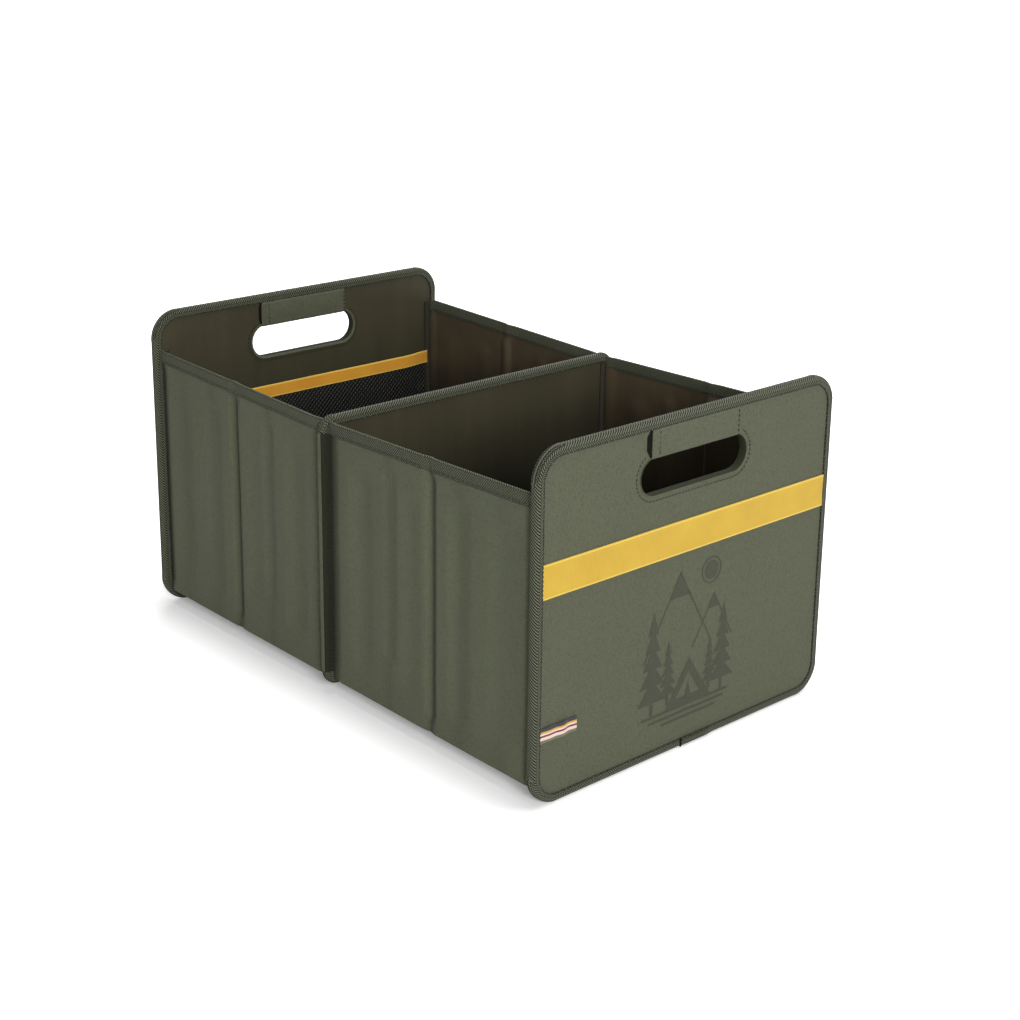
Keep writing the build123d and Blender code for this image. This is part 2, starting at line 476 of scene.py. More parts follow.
# Painted shade for the notches and the slits, where the recesses lie in shade.
recess_painted_shade = deep_shade("recess_painted_shade", (10, 11, 6), (22, 23, 14))
panel_middle, lap_left, lap_right = 0.246, -0.0035, 0.0300
for end, sign in ends:
    spots = on_side(sign, 0.2497, 0.2510)
    lap = blank(f"{end}_tape_end", (spots[0], lap_left, 0.0012), (spots[1], lap_right, 0.0073))
    score(lap, "Y", every(lap_left, lap_right, 0.006))
    work_on(lap)
    pick("VERT", lambda v: v.co.y > lap_right - 0.001)
    bpy.ops.transform.translate(value=(-sign * 0.0007, 0, 0))
    put_down()
    tape_map(lap, 0.0, crate_top, end_corner, sign * panel_middle)
    spots = on_side(sign, 0.2496, 0.2511)
    notch = blank(f"{end}_tape_notch", (spots[0], -0.0046, 0.0006), (spots[1], -0.0034, 0.0076))
    for piece, finish in ((lap, panel_tape), (notch, recess_painted_shade)):
        press(piece, "BEVEL", width=0.0003, segments=2)
        smooth(piece)
        dress(piece, finish)
        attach(piece, f"{end}_panel")


# Stitching round the end panels and their hand holes
# Lockstitch in a thread darker than the cloth, about 3 mm a stitch: one row near the inner
# edge of the tape on each face, and one 4 mm outside the slot, up to the grip's two ends.
def sewing_thread():
    finish, tree, shader, place = new_finish("sewing_thread", 0.55, sheen=0.1, specular=0.45)
    twist = wire(tree, "TexWave", {"Vector": place, "Scale": 1.4, "Distortion": 1.0},
                 bands_direction="DIAGONAL").outputs[1]
    shade = dye(tree, twist, (14, 15, 9), (40, 42, 28))
    lay_on(tree, shader, shade, twist, 0.4, 0.0002)
    return finish


stitch_long, stitch_thick, stitch_pitch = 0.0021, 0.00085, 0.0034


def one_stitch(name):
    """A single stitch lying along X at the origin, its ends dipping into the cloth."""
    half = stitch_thick / 2
    stitch = blank(name, (0, -half, -half), (stitch_long, half, half))
    score(stitch, "X", (stitch_long * 0.22, stitch_long * 0.78))
    work_on(stitch)
    pick("VERT", lambda v: v.co.x < stitch_long * 0.1 or v.co.x > stitch_long * 0.9)
    bpy.ops.transform.resize(value=(1, 0.45, 0.45))
    put_down()
    return stitch


def repeat(piece, count, step):
    press(piece, "ARRAY", count=count, use_relative_offset=False, use_constant_offset=True,
          constant_offset_displace=step)


def seam_line(name, plane, low, high, side, radius):
    """A closed rounded outline in an upright plane, for a row of stitches to follow."""
    line = blank(name, (plane - 0.001, -side, low), (plane + 0.001, side, high))
    round_corners(line, radius, 14)
    work_on(line)
    cut_away("FACE", lambda f: f.normal.x < 0.99)
    pick("FACE", lambda f: True)
    bpy.ops.mesh.delete(type="ONLY_FACE")
    bpy.ops.mesh.select_all(action="SELECT")
    bpy.ops.transform.translate(value=(-0.001, 0, 0))
    take_up(line)
    bpy.ops.object.convert(target="CURVE")
    return bpy.context.object


def sew_round(name, plane, low, high, side, radius):
    stitch = one_stitch(name)
    line = seam_line(name + "_line", plane, low, high, side, radius)
    length = 2 * (2 * side + high - low) - (8 - 2 * math.pi) * radius
    count = int(length / stitch_pitch)
    repeat(stitch, count, (length / count, 0, 0))
    press(stitch, "CURVE", object=line, deform_axis="POS_X")
    bpy.data.objects.remove(line)
    smooth(stitch, 60)
    return stitch


thread = sewing_thread()
tape_inset, slot_margin, slot_row_corner = 0.0066, 0.004, 0.0189
hidden_half, hidden_from = 0.0515, 0.2435
for end, sign in ends:
    for face, on_tape, on_cloth in (("outer", 0.25005, 0.24915), ("inner", 0.24195, 0.24285)):
        row = sew_round(f"{end}_{face}_binding_stitches", sign * on_tape, tape_inset,
                        crate_top - tape_inset, half_width - tape_inset, end_corner - tape_inset)
        around_slot = sew_round(f"{end}_{face}_slot_stitches", sign * on_cloth,
                                slot_low - slot_margin, slot_top + slot_margin,
                                slot_half + slot_margin, slot_row_corner)
        work_on(around_slot)
        cut_away("VERT", lambda v: abs(v.co.y) < hidden_half and v.co.z > hidden_from)
        put_down()
        for stitches in (row, around_slot):
            dress(stitches, thread)
            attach(stitches, f"{end}_panel")


# Facings inside the hand holes
# A strip of the outer cloth turned through the slot and rolled over on both faces, so that
# the board's cut edge is covered and the hand meets a soft round lip.
def to_the_rear(piece):
    """Turns a piece shaped for the front half into its twin for the rear half."""
    press(piece, "MIRROR", use_axis=(True, False, False), use_mirror_merge=False)
    work_on(piece)
    cut_away("VERT", lambda v: v.co.x > 0)
    put_down()


# Painted shade for the facing's bands inside the slot, which lie in shade.
reveal_painted_shade = deep_shade("reveal_painted_shade", (40, 42, 30), (58, 61, 46))
facing_back, facing_front = 0.2428, 0.2492
for end, sign in ends:
    facing = blank(f"{end}_slot_facing", (facing_back, -slot_half, slot_low),
                   (facing_front, slot_half, slot_top))
    round_corners(facing, slot_end - 0.0001, 14)
    work_on(facing)
    cut_away("FACE", lambda f: abs(f.normal.x) > 0.99)
    for lip_x, step, roll in ((facing_back, -0.0006, 0.0036), (facing_front, 0.0, 0.0006)):
        pick("EDGE", lambda e: all(abs(v.co.x - lip_x) < 1e-6 for v in e.verts))
        bpy.ops.mesh.extrude_edges_move()
        bpy.ops.transform.translate(value=(step, 0, 0))
        bpy.ops.transform.resize(value=(1, 1 + roll / slot_wide, 1 + roll / slot_tall))
    bpy.ops.mesh.select_all(action="SELECT")
    bpy.ops.mesh.flip_normals()
    put_down()
    press(facing, "SOLIDIFY", thickness=0.0005, offset=1.0)
    press(facing, "BEVEL", width=0.0003, segments=2, limit_method="ANGLE")
    smooth(facing, 50)
    if sign < 0:
        to_the_rear(facing)
    dress(facing, outer_cloth, reveal_painted_shade)
    # Faces inside the slot take the painted shade.
    for face in facing.data.polygons:
        within = abs(face.normal.x) < 0.5 and abs(face.center.x) > facing_back + 0.0004
        face.material_index = 1 if within else 0
    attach(facing, f"{end}_panel")


# Handle grips
# A thinly padded sleeve of outer cloth wrapped round the bar above each slot and caught
# under the top tape. At one side it stands off the cover, which leaves a slit; it is drawn
# as a strip of painted shade.
def nudge(move, reach):
    """Moves what is picked, and what lies within reach of it less and less."""
    bpy.ops.transform.translate(value=move, use_proportional_edit=True,
                                proportional_edit_falloff="SMOOTH", proportional_size=reach)


grip_half, grip_top, grip_low = 0.047, 0.2642, 0.2412
grip_back, grip_front, grip_middle, grip_height = 0.2409, 0.2507, 0.2458, 0.2535
grip_seams = (-0.039, 0.0455)
for end, sign in ends:
    grip = blank(f"{end}_grip_sleeve", (grip_back, -grip_half, grip_low),
                 (grip_front, grip_half, grip_top))
    score(grip, "Y", every(-grip_half, grip_half, 0.003))
    score(grip, "Z", every(grip_low, grip_top, 0.003))
    work_on(grip)
    pick("EDGE", lambda e: all(v.co.z < grip_low + 1e-6 for v in e.verts)
         and (all(v.co.x > grip_front - 0.0002 for v in e.verts)
              or all(v.co.x < grip_back + 0.0002 for v in e.verts)))
    bpy.ops.mesh.bevel(offset=0.0026, segments=4)
    cut_away("FACE", lambda f: f.normal.z > 0.99 or abs(f.normal.y) > 0.99)
    for face_x, push_out in ((grip_front, 0.0006), (grip_back, -0.0006)):
        pick("VERT", lambda v: abs(v.co.x - face_x) < 1e-5 and abs(v.co.z - grip_height) < 0.003
             and abs(v.co.y) < 0.036)
        nudge((push_out, 0, 0), 0.009)
    for seam_y in grip_seams:
        pick("VERT", lambda v: abs(v.co.y - seam_y) < 0.0016)
        bpy.ops.transform.resize(value=(0.93, 1, 1),
                                 center_override=(grip_middle, seam_y, grip_height))
    put_down()
    press(grip, "SOLIDIFY", thickness=0.0011, offset=-1.0)
    press(grip, "SUBSURF", levels=1, render_levels=1)
    swell(grip, 0.0004, 0.02)
    if sign < 0:
        to_the_rear(grip)
    smooth(grip, 60)
    dress(grip, outer_cloth)
    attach(grip, f"{end}_panel")
    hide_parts(f"{end}_handle_grip")


def sew_along(name, start, end, axis):
    """A straight row of stitches from one point to another, lying along X or Z."""
    start, end = Vector(start), Vector(end)
    stitch = one_stitch(name)
    turn = Matrix.Rotation(-math.pi / 2, 4, "Y") if axis == "Z" else Matrix.Identity(4)
    stitch.data.transform(Matrix.Translation(start) @ turn)
    count = max(1, int((end - start).length / stitch_pitch))
    repeat(stitch, count, (end - start) / count)
    smooth(stitch, 60)
    return stitch


for end, sign in ends:
    for number, seam_y in enumerate(grip_seams):
        for face, plane in (("outer", 0.2505), ("inner", 0.2411)):
            row = sew_along(f"{end}_{face}_grip_stitches_{number + 1}",
                            (sign * plane, seam_y, 0.2445), (sign * plane, seam_y, 0.2635), "Z")
            dress(row, thread)
            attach(row, f"{end}_panel")


# Slits beside the grips
# Where the sleeve ends, the panel's cloth stands back from it, by 4 mm outside and by 2 mm
# inside, and the recess between them is drawn as an upright strip of painted shade.
slit_low, slit_high, slit_side, slit_gap = 0.2432, 0.2645, -0.0469, 0.0008
for end, sign in ends:
    for face, planes, wide in (("outer", (0.2486, 0.2496), 0.0044),
                               ("inner", (0.2424, 0.2432), 0.0022)):
        spots = on_side(sign, *planes)
        slit = blank(f"{end}_{face}_grip_slit", (spots[0], slit_side - wide, slit_low),
                     (spots[1], slit_side, slit_high))
        score(slit, "Z", every(slit_low, slit_high, 0.0018))
        work_on(slit)
        pick("VERT", lambda v: v.co.y < slit_side - slit_gap
             and not slit_low + slit_gap < v.co.z < slit_high - slit_gap)
        nudge((0, wide * 0.75, 0), 0.006)
        put_down()
        smooth(slit)
        dress(slit, recess_painted_shade)
        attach(slit, f"{end}_panel")


# Closing band
# Woven yellow elastic stretched flat across the front cover, its ends caught under the side
# tapes. It has fine upright ribs and a paler, slightly thicker selvedge along both edges.
def yellow_elastic(name, low, high, light=(205, 170, 54), dark=(178, 142, 36)):
    finish, tree, shader, place = new_finish(name, 0.62, sheen=0.15)
    axes = wire(tree, "SeparateXYZ", {0: place}).outputs
    rib, course = ribs(tree, axes["Y"], 1.2), ribs(tree, axes["Z"], 0.8)
    middle, half, selvedge_wide = (low + high) / 2, (high - low) / 2, 1.3
    away = sums(tree, "ABSOLUTE", minus(tree, axes["Z"], middle))
    on_selvedge = sums(tree, "GREATER_THAN", away, half - selvedge_wide)
    wash = mottle(tree, place, 0.03, 3.0)
    share = plus(tree, times(tree, rib, 0.16), times(tree, course, 0.07))
    share = plus(tree, share, times(tree, wash, 0.9), clamp=True)
    shade = dye(tree, share, dark, light)
    shade = dye(tree, times(tree, on_selvedge, 0.6), shade, (222, 192, 84))
    lay_on(tree, shader, shade, plus(tree, rib, times(tree, course, 0.5)), 0.3)
    return finish


band_low, band_high, band_half = 0.161, 0.187, 0.1512
band_back, band_front, selvedge, quarter_line = 0.2491, 0.2501, 0.0013, 0.0095
band = blank("elastic_closing_band", (band_back, -band_half, band_low),
             (band_front, band_half, band_high))
score(band, "Y", every(-band_half, band_half, 0.004))
score(band, "Z", (band_low + selvedge, band_low + quarter_line, band_high - quarter_line,
                  band_high - selvedge))
work_on(band)
pick("VERT", lambda v: v.co.x > band_front - 0.0001
     and not band_low + selvedge + 0.0001 < v.co.z < band_high - selvedge - 0.0001)
bpy.ops.transform.translate(value=(0.0002, 0, 0))
put_down()
swell(band, 0.0004, 0.05, axis="X")
press(band, "BEVEL", width=0.00025, segments=2, limit_method="ANGLE")
smooth(band)
dress(band, yellow_elastic("closing_elastic", 161.0, 187.0))
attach(band, "front_panel")
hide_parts("closing_band")


# Ribbon label
# A short striped ribbon caught under the left tape, woven in five colours and lying in a
# slight wave with its free end cut straight.
def striped_ribbon():
    finish, tree, shader, place = new_finish("striped_ribbon", 0.6, sheen=0.1)
    axes = wire(tree, "SeparateXYZ", {0: place}).outputs
    shade = (112, 108, 84)
    for foot, colour in ((53.4, (226, 206, 196)), (55.7, (122, 38, 34)), (57.2, (226, 206, 196)),
                         (58.5, (205, 160, 62)), (60.0, (50, 54, 60))):
        above = sums(tree, "GREATER_THAN", axes["Z"], foot)
        shade = dye(tree, above, shade, colour)
    rib = ribs(tree, axes["Y"], 0.9)
    shade = dye(tree, plus(tree, times(tree, rib, 0.09), 0.09), shade, (12, 12, 10))
    lay_on(tree, shader, shade, rib, 0.4)
    return finish


ribbon_left, ribbon_right, ribbon_low, ribbon_high = -0.1512, -0.1160, 0.0510, 0.0626
ribbon = blank("striped_ribbon_label", (0.2493, ribbon_left, ribbon_low),
               (0.2499, ribbon_right, ribbon_high))
score(ribbon, "Y", every(ribbon_left, ribbon_right, 0.0018))
score(ribbon, "Z", every(ribbon_low, ribbon_high, 0.003))
work_on(ribbon)
for wave_y, lift in ((-0.1420, 0.0007), (-0.1300, 0.0015), (ribbon_right, 0.0008)):
    pick("VERT", lambda v: abs(v.co.y - wave_y) < 0.0014)
    nudge((lift, 0, 0.0004), 0.008)
put_down()
smooth(ribbon, 60)
dress(ribbon, striped_ribbon())
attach(ribbon, "front_panel")
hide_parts("stripe_label")


# Printed camp scene
# A plain tone-on-tone print on the lower middle of the front cover: sun, hills, pines and
# a tent. The ink is a thin matt film in which the weave still shows.
def camp_ink():
    finish, tree, shader, place = new_finish("camp_ink", 0.85, specular=0.2)
    crossing = plain_weave(tree, wire(tree, "SeparateXYZ", {0: place}).outputs, "Y")
    worn = mottle(tree, place, 0.7, 3.0)
    share = plus(tree, times(tree, worn, 0.8), times(tree, crossing, 0.1))
    shade = dye(tree, share, (62, 64, 53), (76, 78, 66))
    lay_on(tree, shader, shade, sums(tree, "ABSOLUTE", crossing), 0.3)
    return finish


print_plane = 0.2492


def ink_shape(name, sides, centre, size, turn=0.0, outline=None):
    """One flat printed shape on the cover: sides corners, centre and size across and up."""
    put_down()
    bpy.ops.mesh.primitive_circle_add(vertices=sides, radius=0.5, fill_type="NGON")
    shape = bpy.context.object
    shape.name = name
    lie = Matrix.Rotation(math.radians(turn), 4, "Z")
    stand = Matrix(((0, 0, 1, 0), (1, 0, 0, 0), (0, 1, 0, 0), (0, 0, 0, 1)))
    spread = Matrix.Diagonal((1, size[0], size[1], 1))
    on_cover = Matrix.Translation((print_plane, *centre))
    shape.data.transform(on_cover @ spread @ stand @ lie)
    if outline:
        work_on(shape)
        pick("FACE", lambda f: True)
        bpy.ops.mesh.inset(thickness=outline)
        bpy.ops.mesh.delete(type="FACE")
        put_down()
    return shape


def ink_parts():
    """The whole print, from the sun at the top down to the ground lines. A circle of three
    or four corners is smaller than its size, so it is drawn larger by what it falls short."""
    line, cap = 0.0013, 0.30
    three_wide, three_tall, four_wide = 1.155, 1.333, 1.41
    parts = [ink_shape("sun", 40, (0.024, 0.139), (0.022, 0.022), outline=line),
             ink_shape("sun_core", 32, (0.024, 0.139), (0.015, 0.015))]
    for y, base, wide, tall in ((-0.010, 0.078, 0.078, 0.068), (0.028, 0.078, 0.048, 0.042)):
        peak = ink_shape("hill", 3, (y, base + tall / 3), (wide * three_wide, tall * three_tall),
                         outline=line)
        work_on(peak)
        bpy.ops.mesh.select_all(action="SELECT")
        bpy.ops.mesh.bisect(plane_co=(0, 0, base + 0.0015), plane_no=(0, 0, 1), clear_inner=True)
        put_down()
        parts += [peak, ink_shape("hill_cap", 3, (y, base + tall * (1 - cap * 2 / 3)),
                                  (wide * three_wide * cap, tall * three_tall * cap))]
    for y, base, tall, wide in ((-0.037, 0.036, 0.084, 0.036), (0.040, 0.036, 0.072, 0.032),
                                (-0.020, 0.042, 0.050, 0.024), (0.026, 0.042, 0.040, 0.020)):
        parts.append(ink_shape("trunk", 4, (y, base + 0.004), (0.0046, 0.016), turn=45))
        for tier in range(5):
            parts.append(ink_shape("boughs", 3, (y, base + tall * (0.20 + 0.165 * tier)),
                                   (wide * (1.0 - 0.16 * tier), tall * 0.30)))
    parts.append(ink_shape("tent", 3, (0.003, 0.048), (0.058, 0.050), outline=0.0062))
    parts.append(ink_shape("tent_flap", 3, (0.003, 0.0445), (0.008, 0.020)))
    for row, wide in enumerate((0.096, 0.084, 0.060)):
        parts.append(ink_shape("ground", 4, (0.002 * row, 0.0345 - 0.0048 * row),
                               (wide * four_wide, 0.0030), turn=45))
    return parts


printed = ink_parts()
film = 0.000004
for number, shape in enumerate(printed):
    shape.data.transform(Matrix.Translation((number * film, 0, 0)))
take_up(printed[0])
for shape in printed:
    shape.select_set(True)
bpy.ops.object.join()
camp_print = bpy.context.object
camp_print.name = camp_print.data.name = "camp_print"
score(camp_print, "Y", every(-0.06, 0.06, 0.010))
score(camp_print, "Z", every(0.015, 0.155, 0.010))
press(camp_print, "SHRINKWRAP", target=bpy.data.objects["front_cover_cloth"],
      wrap_method="PROJECT", use_project_x=True, use_project_y=False, use_project_z=False,
      use_negative_direction=True, use_positive_direction=True, offset=0.00025)
dress(camp_print, camp_ink())
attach(camp_print, "front_panel")


# Divider
# The same board as the ends, lined on both faces with brown satin and bound all round. It
# is lower than the ends and hangs clear of the ground between the side walls.
divider_low, divider_high, divider_corner, divider_face = 0.008, 0.235, 0.012, 0.004
for part, near, far in (("front", 0.002, 0.003), ("rear", -0.003, -0.002)):
    cloth = panel_sheet(f"divider_{part}_cloth", near, far, divider_low, divider_high,
                        divider_corner, False)
    dress(cloth, inner_cloth)
    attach(cloth, "divider")
    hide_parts(f"divider_{part}_lining")
tape = binding_channel("divider_binding_tape", -divider_face, divider_face, divider_low,
                       divider_high, divider_corner)
dress(tape, panel_tape)
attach(tape, "divider")
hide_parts("divider_binding")
row_inset = 0.0064
for part, plane in (("front", 0.00405), ("rear", -0.00405)):
    row = sew_round(f"divider_{part}_binding_stitches", plane, divider_low + row_inset,
                    divider_high - row_inset, half_width - row_inset, divider_corner - row_inset)
    dress(row, thread)
    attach(row, "divider")


# Cloth over the divider's upright edges
# The rear wall's outer cloth runs on over the divider's rim and is turned in there, so the
# upright edge shows as a plain rounded welt, with the turned-in fold in front of it coloured
# in painted shade.
welt_cloth = olive_weave("olive_welt_cloth", "X", light=(94, 98, 78), dark=(72, 75, 57))
# The fold's finish is dark painted shade, for the recess in front of the welt.
fold_painted_shade = olive_weave("olive_fold_painted_shade", "X", light=(34, 36, 25), dark=(22, 24, 15))
welt_low, welt_high = 0.0205, 0.2225
for side, sign in sides:
    spots = on_side(sign, 0.1500, 0.1586)
    welt = blank(f"divider_{side}_welt", (-0.0046, spots[0], welt_low),
                 (0.0045, spots[1], welt_high))
    score(welt, "Z", every(welt_low, welt_high, 0.006))
    work_on(welt)
    cut_away("FACE", lambda f: f.normal.y * sign < -0.99 or abs(f.normal.z) > 0.99)
    pick("EDGE", lambda e: all(abs(v.co.y) > 0.1580 for v in e.verts)
         and abs((e.verts[0].co - e.verts[1].co).normalized().z) > 0.99)
    bpy.ops.mesh.bevel(offset=0.0028, segments=5)
    pick("VERT", lambda v: v.co.z < welt_low + 0.0005 or v.co.z > welt_high - 0.0005)
    bpy.ops.transform.resize(value=(0.93, 1, 1), center_override=(0, 0, 0))
    put_down()
    swell(welt, 0.0005, 0.03)
    press(welt, "SOLIDIFY", thickness=0.0004, offset=-1.0)
    smooth(welt, 60)
    dress(welt, welt_cloth, fold_painted_shade)
    # Faces in front of the divider's middle take the fold's painted shade.
    for face in welt.data.polygons:
        face.material_index = 1 if face.center.x > 0.0004 else 0
    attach(welt, "divider")


# Side walls
# Each is one length of outer cloth with lining behind it, sewn to the divider and to an end
# panel. Two stiff leaves inside it stop at the middle crease, where the wall folds inwards.
wall_near, wall_far, wall_low = 0.0045, 0.2415, 0.014
crease_x, wall_face = 0.123, 0.1533
top_near, top_far = 0.2315, 0.2370
# Painted shade along the walls' creases, seams and broad folds, and on the front walls a painted
# shadow beside the divider.
wall_painted_shade_lines = ((129.5, 8.0, 0.50), (240.5, 6.0, 0.85), (79.0, 12.0, 0.15),
                (163.0, 15.0, 0.13), (209.0, 20.0, 0.10))
divider_painted_shadow = (3.0, 14.0, 0.97)
wall_cloths = {
    "front": olive_weave("olive_cloth_front_walls", "X", light=(94, 98, 78), dark=(76, 79, 60),
                         painted_shade_lines=wall_painted_shade_lines + (divider_painted_shadow,)),
    "rear": olive_weave("olive_cloth_rear_walls", "X", light=(94, 98, 78), dark=(76, 79, 60),
                        painted_shade_lines=wall_painted_shade_lines)}
wall_lining = brown_satin("brown_lining_walls", "X", light=(98, 84, 63), dark=(68, 60, 45))


def ease(piece, place_x, reach, move, low=0.0, high=0.3):
    """Moves an upright line of a wall in or out, and the cloth beside it less and less."""
    work_on(piece)
    pick("VERT", lambda v: abs(v.co.x - place_x) < 0.0016 and low < v.co.z < high)
    nudge((0, move, 0), reach)
    put_down()


def fall(piece, sign):
    """Where the hem holds it a wall only dips a little at its seams and at the crease."""
    for place_x, reach, move in ((0.2405, 0.006, -0.0008), (0.1265, 0.0075, -0.0014),
                                 (0.0055, 0.012, -0.0014)):
        ease(piece, place_x, reach, sign * move)


def hollows(wall, sign):
    """Below the hem it is drawn in at the seams, hollow between them and pinched at the crease."""
    for place_x, reach, move, low, high in (
            (0.2395, 0.008, -0.0014, 0.026, 0.219), (0.1295, 0.007, -0.0024, 0.029, 0.217),
            (0.1236, 0.003, 0.0006, 0.0, 0.216), (0.0070, 0.014, -0.0008, 0.032, 0.217),
            (0.2140, 0.022, -0.0018, 0.050, 0.195), (0.1620, 0.014, -0.0017, 0.040, 0.198),
            (0.1040, 0.014, -0.0010, 0.050, 0.190), (0.0800, 0.010, -0.0015, 0.060, 0.205),
            (0.0440, 0.018, -0.0020, 0.045, 0.190)):
        ease(wall, place_x, reach, sign * move, low, high)


for side, sign in sides:
    for half, facing in ends:
        put_down()
        bpy.ops.mesh.primitive_grid_add(x_subdivisions=158, y_subdivisions=74, size=1,
                                        rotation=(-sign * math.pi / 2, 0, 0))
        wall = bpy.context.object
        wall.name = wall.data.name = f"{half}_{side}_wall_cloth"
        wall.scale = (wall_far - wall_near, top_far - wall_low, 1)
        bpy.ops.object.transform_apply(location=True, rotation=True, scale=True)
        middle = ((wall_far + wall_near) / 2, sign * (wall_face - 0.0001), (top_far + wall_low) / 2)
        wall.data.transform(Matrix.Translation(middle))
        work_on(wall)
        bpy.ops.mesh.select_all(action="SELECT")
        slope = (top_far - top_near) / (wall_far - wall_near)
        bpy.ops.mesh.bisect(plane_co=(wall_near, 0, top_near), plane_no=(-slope, 0, 1),
                            clear_outer=True)
        put_down()
        fall(wall, sign)
        hollows(wall, sign)
        swell(wall, -sign * 0.0008, 0.06, axis="Y", middle=0.0)
        swell(wall, -sign * 0.00015, 0.012, axis="Y", middle=0.0)
        if facing < 0:
            to_the_rear(wall)
        dress(wall, wall_cloths[half], wall_lining)
        press(wall, "SOLIDIFY", thickness=0.0014, offset=-1.0, material_offset=1)
        smooth(wall, 60)
        place = f"{half}_{side}_wall"
        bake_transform(wall)
        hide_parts(*[f"{place}_{leaf}_{part}" for leaf in ("inner", "outer")
                            for part in ("panel", "gusset")])


# Hems along the tops of the side walls
# Twill tape folded over the wall's top edge, 10 mm deep on each face and sewn through near
# its lower edge. It follows every bend of the wall below it.
hem_tape = herringbone("hem_tape", 2.2, 12.1, light=(112, 116, 94), dark=(44, 46, 32))
hem_deep, hem_over, hem_middle, row_down, row_in = 0.0100, 0.0005, 0.15225, 0.0080, 0.002


def rise(place_x):
    """How much higher a wall's top is here than at the divider."""
    return (place_x - wall_near) * (top_far - top_near) / (wall_far - wall_near)


for side, sign in sides:
    for half, facing in ends:
        spots = on_side(sign, 0.1509, 0.1536)
        hem = blank(f"{half}_{side}_wall_hem", (wall_near, spots[0], top_near - hem_deep),
                    (wall_far, spots[1], top_near + hem_over))
        score(hem, "X", every(wall_near, wall_far, 0.003))
        work_on(hem)
        cut_away("FACE", lambda f: f.normal.z < -0.99)
        pick("EDGE", lambda e: all(v.co.z > top_near for v in e.verts)
             and abs((e.verts[0].co - e.verts[1].co).normalized().x) > 0.99)
        bpy.ops.mesh.bevel(offset=0.0011, segments=3)
        put_down()
        for vertex in hem.data.vertices:
            vertex.co.z += rise(vertex.co.x)
        layer = hem.data.uv_layers.new(name="tape")
        for loop in hem.data.loops:
            spot = hem.data.vertices[loop.vertex_index].co
            out = spot.y * sign - hem_middle
            down = top_near + hem_over + rise(spot.x) - spot.z
            layer.data[loop.index].uv = (spot.x * 1000, (out + math.copysign(down, out)) * 1000)
        fall(hem, sign)
        if facing < 0:
            to_the_rear(hem)
        press(hem, "SOLIDIFY", thickness=0.0004, offset=-1.0)
        smooth(hem, 60)
        dress(hem, hem_tape)
        place = f"{half}_{side}_wall"
        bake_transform(hem)
        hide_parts(f"{place}_inner_hem", f"{place}_outer_hem")
        for face, plane in (("outer", 0.15360), ("inner", 0.15086)):
            row = sew_along(f"{half}_{side}_hem_{face}_stitches",
                            (wall_near + row_in, sign * plane, top_near - row_down),
                            (wall_far - row_in, sign * plane, top_far - row_down), "X")
            fall(row, sign)
            if facing < 0:
                to_the_rear(row)
            dress(row, thread)
            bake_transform(row)


# Corner seams inside
# The raw edges of wall, panel and lining are rolled into a narrow strip of tape and sewn
# down beside each corner, which twists a little as it goes up.
def rolled_seam(name, near, far, side_in, side_out, low, high):
    seam = blank(name, (near, side_in, low), (far, side_out, high))
    score(seam, "Z", every(low, high, 0.0035))
    score(seam, "Y", every(side_in, side_out, 0.0018))
    swell(seam, 0.0009, 0.007, axis="Y")
    press(seam, "BEVEL", width=0.0004, segments=2, limit_method="ANGLE")
    smooth(seam, 60)
    layer = seam.data.uv_layers.new(name="tape")
    for loop in seam.data.loops:
        spot = seam.data.vertices[loop.vertex_index].co
        layer.data[loop.index].uv = (spot.z * 1000, (spot.y - (side_in + side_out) / 2) * 1000)
    return seam


seam_tape = herringbone("rolled_seam_tape", 9.0, 20.0, light=(50, 46, 33), dark=(26, 25, 15))
for half, facing in ends:
    for side, sign in sides:
        for corner, planes, top, body in (
                ("panel", (0.2419, 0.2430), 0.236, f"{half}_panel"),
                ("divider", (0.0030, 0.0041), 0.2275, "divider")):
            spots = on_side(facing, *planes)
            edges = on_side(sign, 0.1434, 0.1486)
            seam = rolled_seam(f"{half}_{side}_{corner}_seam", *spots, *edges, 0.019, top)
            dress(seam, seam_tape)
            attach(seam, body)


# Floor
# Four boards, each sewn into its own pocket of cloth: lining above and the base cloth
# below. The cloth's margin fills the gap to the walls and to the board beside it.
floor_cloth = brown_satin("brown_lining_floor", "X", light=(74, 66, 50), dark=(52, 47, 35),
                          painted_depth_shade=0.0)
base_cloth = olive_weave("olive_base_cloth", "X")
floor_margin = Vector((0.0004, 0.0019, 0))
for half, facing in ends:
    for leaf in ("inner", "outer"):
        low, high = [corner.copy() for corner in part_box(f"{half}_floor_{leaf}_board")]
        low.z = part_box(f"{half}_floor_{leaf}_fabric")[0].z
        low, high = low - floor_margin, high + floor_margin
        leaf_board = blank(f"{half}_floor_{leaf}_leaf", low, high)
        score(leaf_board, "X", every(low.x, high.x, 0.009))
        score(leaf_board, "Y", every(low.y, high.y, 0.009))
        swell(leaf_board, -0.0008, 0.035, axis="Z", middle=0.0)
        for vertex in leaf_board.data.vertices:
            vertex.co.z = min(max(vertex.co.z, low.z), high.z)
        press(leaf_board, "BEVEL", width=0.0011, segments=3, limit_method="ANGLE",
              angle_limit=1.0)
        smooth(leaf_board, 50)
        dress(leaf_board, floor_cloth, base_cloth)
        for face in leaf_board.data.polygons:
            face.material_index = 1 if face.normal.z < -0.5 else 0
        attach(leaf_board, f"{half}_floor_{leaf}")
        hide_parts(f"{half}_floor_{leaf}_board", f"{half}_floor_{leaf}_fabric")


